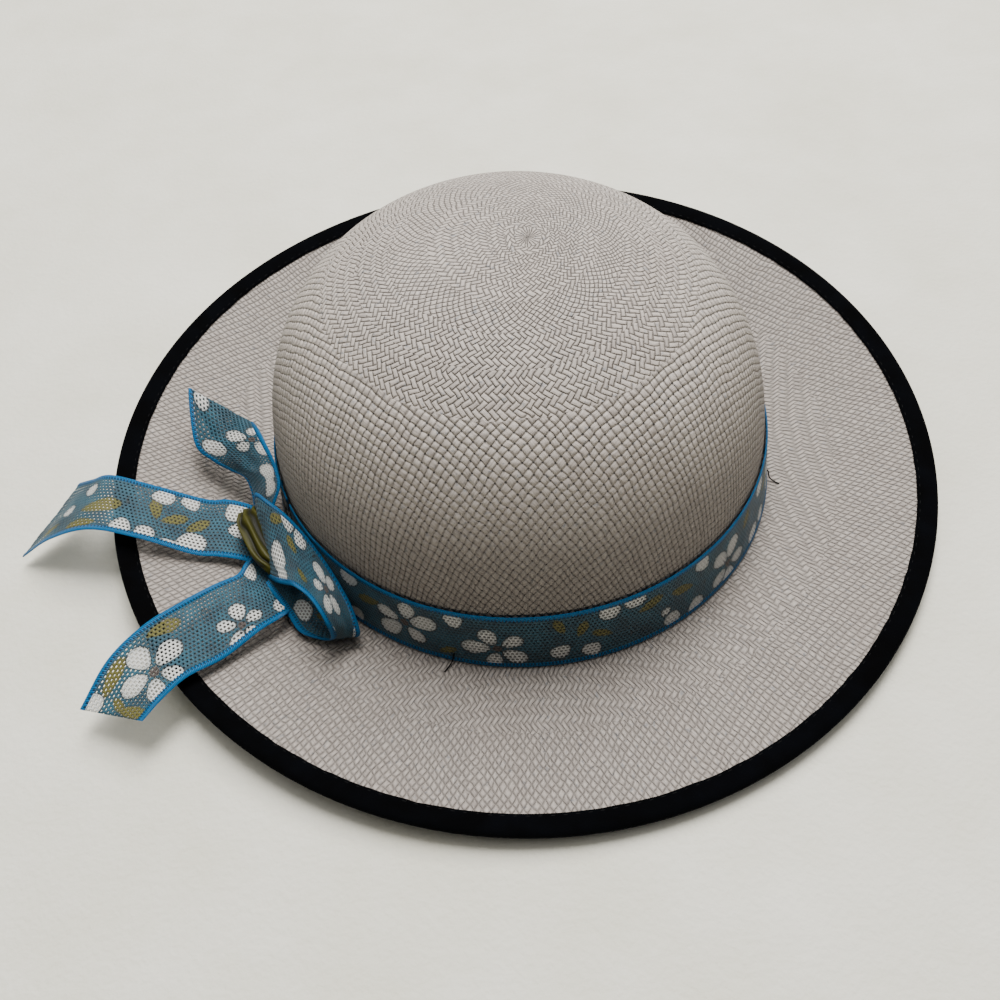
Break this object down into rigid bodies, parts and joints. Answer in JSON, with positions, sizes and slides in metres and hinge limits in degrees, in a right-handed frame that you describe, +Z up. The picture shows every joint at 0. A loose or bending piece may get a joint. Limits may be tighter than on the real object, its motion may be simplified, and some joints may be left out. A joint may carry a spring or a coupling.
{
  "type": "panama hat",
  "caption": "Woven straw sun hat with a round crown, a lifted brim bound in dark velvet and a printed mesh ribbon band tied in a side bow.",
  "frame": {"origin": "centre of the head opening, in the plane of the level headline ring that the hat rests on", "axes": "+Z up through the crown, +Y to the back of the hat, -X to the side with the bow"},
  "size_m": [0.3584, 0.3322, 0.1112],
  "materials": {
    "straw": "twill-woven palm straw, pale warm grey, matt",
    "velvet": "black cotton velvet ribbon, matt with a soft pile",
    "black_thread": "black sewing thread",
    "steel_wire": "spring steel millinery wire",
    "sweatband_cloth": "cotton twill sweatband",
    "tape_cloth": "grosgrain tape",
    "pale_thread": "pale sewing thread",
    "ribbon_mesh": "open-weave printed ribbon, teal with white flowers and olive leaves",
    "ribbon_edge": "bright blue overlocked wired edge",
    "wrap_satin": "olive satin ribbon"
  },
  "bodies": {
    "hat": {"straw_body": "straw", "brim_binding": "velvet", "binding_stitching": "black_thread", "brim_wire": "steel_wire", "wire_joiner": "steel_wire", "sweatband": "sweatband_cloth", "sweatband_tape": "tape_cloth", "sweatband_stitching": "pale_thread", "band_ribbon": "ribbon_mesh", "band_edge_upper": "ribbon_edge", "band_edge_lower": "ribbon_edge", "band_tack_front": "black_thread", "band_tack_side": "black_thread", "band_tack_back": "black_thread", "band_tack_rear_bow_side": "black_thread", "bow_core": "ribbon_mesh", "centre_wrap": "wrap_satin"},
    "tail_left": {"left_tail": "ribbon_mesh", "left_tail_edge_inner": "ribbon_edge", "left_tail_edge_outer": "ribbon_edge"},
    "tail_front": {"front_tail": "ribbon_mesh", "front_tail_edge_inner": "ribbon_edge", "front_tail_edge_outer": "ribbon_edge"},
    "loop_upper": {"upper_loop": "ribbon_mesh", "upper_loop_edge_inner": "ribbon_edge", "upper_loop_edge_outer": "ribbon_edge"},
    "loop_lower": {"lower_loop": "ribbon_mesh", "lower_loop_edge_inner": "ribbon_edge", "lower_loop_edge_outer": "ribbon_edge"}
  },
  "joints": [
    {"name": "left_tail_lift", "type": "hinge", "parent": "hat", "child": "tail_left", "pos_m": [-0.115, -0.0395, 0.0115], "axis": [0, 1, 0], "range_deg": [0, 60]},
    {"name": "front_tail_lift", "type": "hinge", "parent": "hat", "child": "tail_front", "pos_m": [-0.097, -0.073, 0.0135], "axis": [-0.7071, 0.7071, 0], "range_deg": [0, 60]},
    {"name": "upper_loop_lift", "type": "hinge", "parent": "hat", "child": "loop_upper", "pos_m": [-0.09975, -0.02825, 0.0255], "axis": [0.6498, -0.5796, 0.4918], "range_deg": [0, 35]},
    {"name": "lower_loop_lift", "type": "hinge", "parent": "hat", "child": "loop_lower", "pos_m": [-0.0945, -0.056, 0.018], "axis": [-0.7761, -0.6306, 0], "range_deg": [0, 30]}
  ]
}
